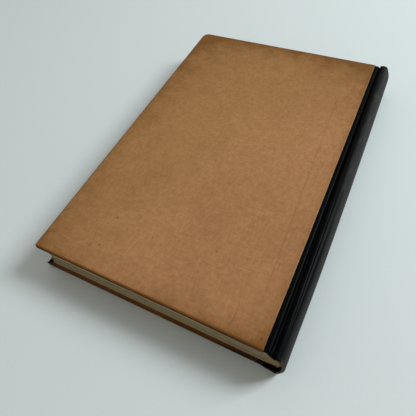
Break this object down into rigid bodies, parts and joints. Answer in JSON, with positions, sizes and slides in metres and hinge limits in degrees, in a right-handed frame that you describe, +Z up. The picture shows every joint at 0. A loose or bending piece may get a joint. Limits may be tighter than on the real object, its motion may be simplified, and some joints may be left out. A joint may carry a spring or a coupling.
{
  "type": "quarter-bound hardback book",
  "caption": "Closed quarter-bound hardback book with cloth sides, a dark leather spine with grooved joints, and two covers that open",
  "frame": {"origin": "middle of the outer face of the front cover, on which the book lies", "axes": "+X to the spine, +Y to the head, +Z up through the closed book"},
  "size_m": [0.1316, 0.1976, 0.021],
  "materials": {
    "page_paper": "matte, yellowed",
    "endpaper": "matte",
    "lining_paper": "matte",
    "mull": "open weave",
    "card": "matte",
    "board": "matte",
    "cloth": "fine weave, matte, worn",
    "spine_leather": "smooth, worn"
  },
  "bodies": {
    "pages": {"text_block": "page_paper", "spine_mull": "mull", "spine_lining": "lining_paper", "spine_inlay": "card", "spine_leather": "spine_leather"},
    "back_cover": {"back_board": "board", "back_cloth": "cloth", "back_board_leather": "spine_leather", "back_mull_flap": "mull", "back_pastedown": "endpaper"},
    "front_cover": {"front_board": "board", "front_cloth": "cloth", "front_board_leather": "spine_leather", "front_mull_flap": "mull", "front_pastedown": "endpaper"}
  },
  "joints": [
    {"name": "back_cover_hinge", "type": "hinge", "parent": "pages", "child": "back_cover", "pos_m": [0.062, 0, 0.0207], "axis": [0, 1, 0], "range_deg": [0, 180]},
    {"name": "front_cover_hinge", "type": "hinge", "parent": "pages", "child": "front_cover", "pos_m": [0.062, 0, 0.0003], "axis": [0, -1, 0], "range_deg": [0, 180]}
  ]
}
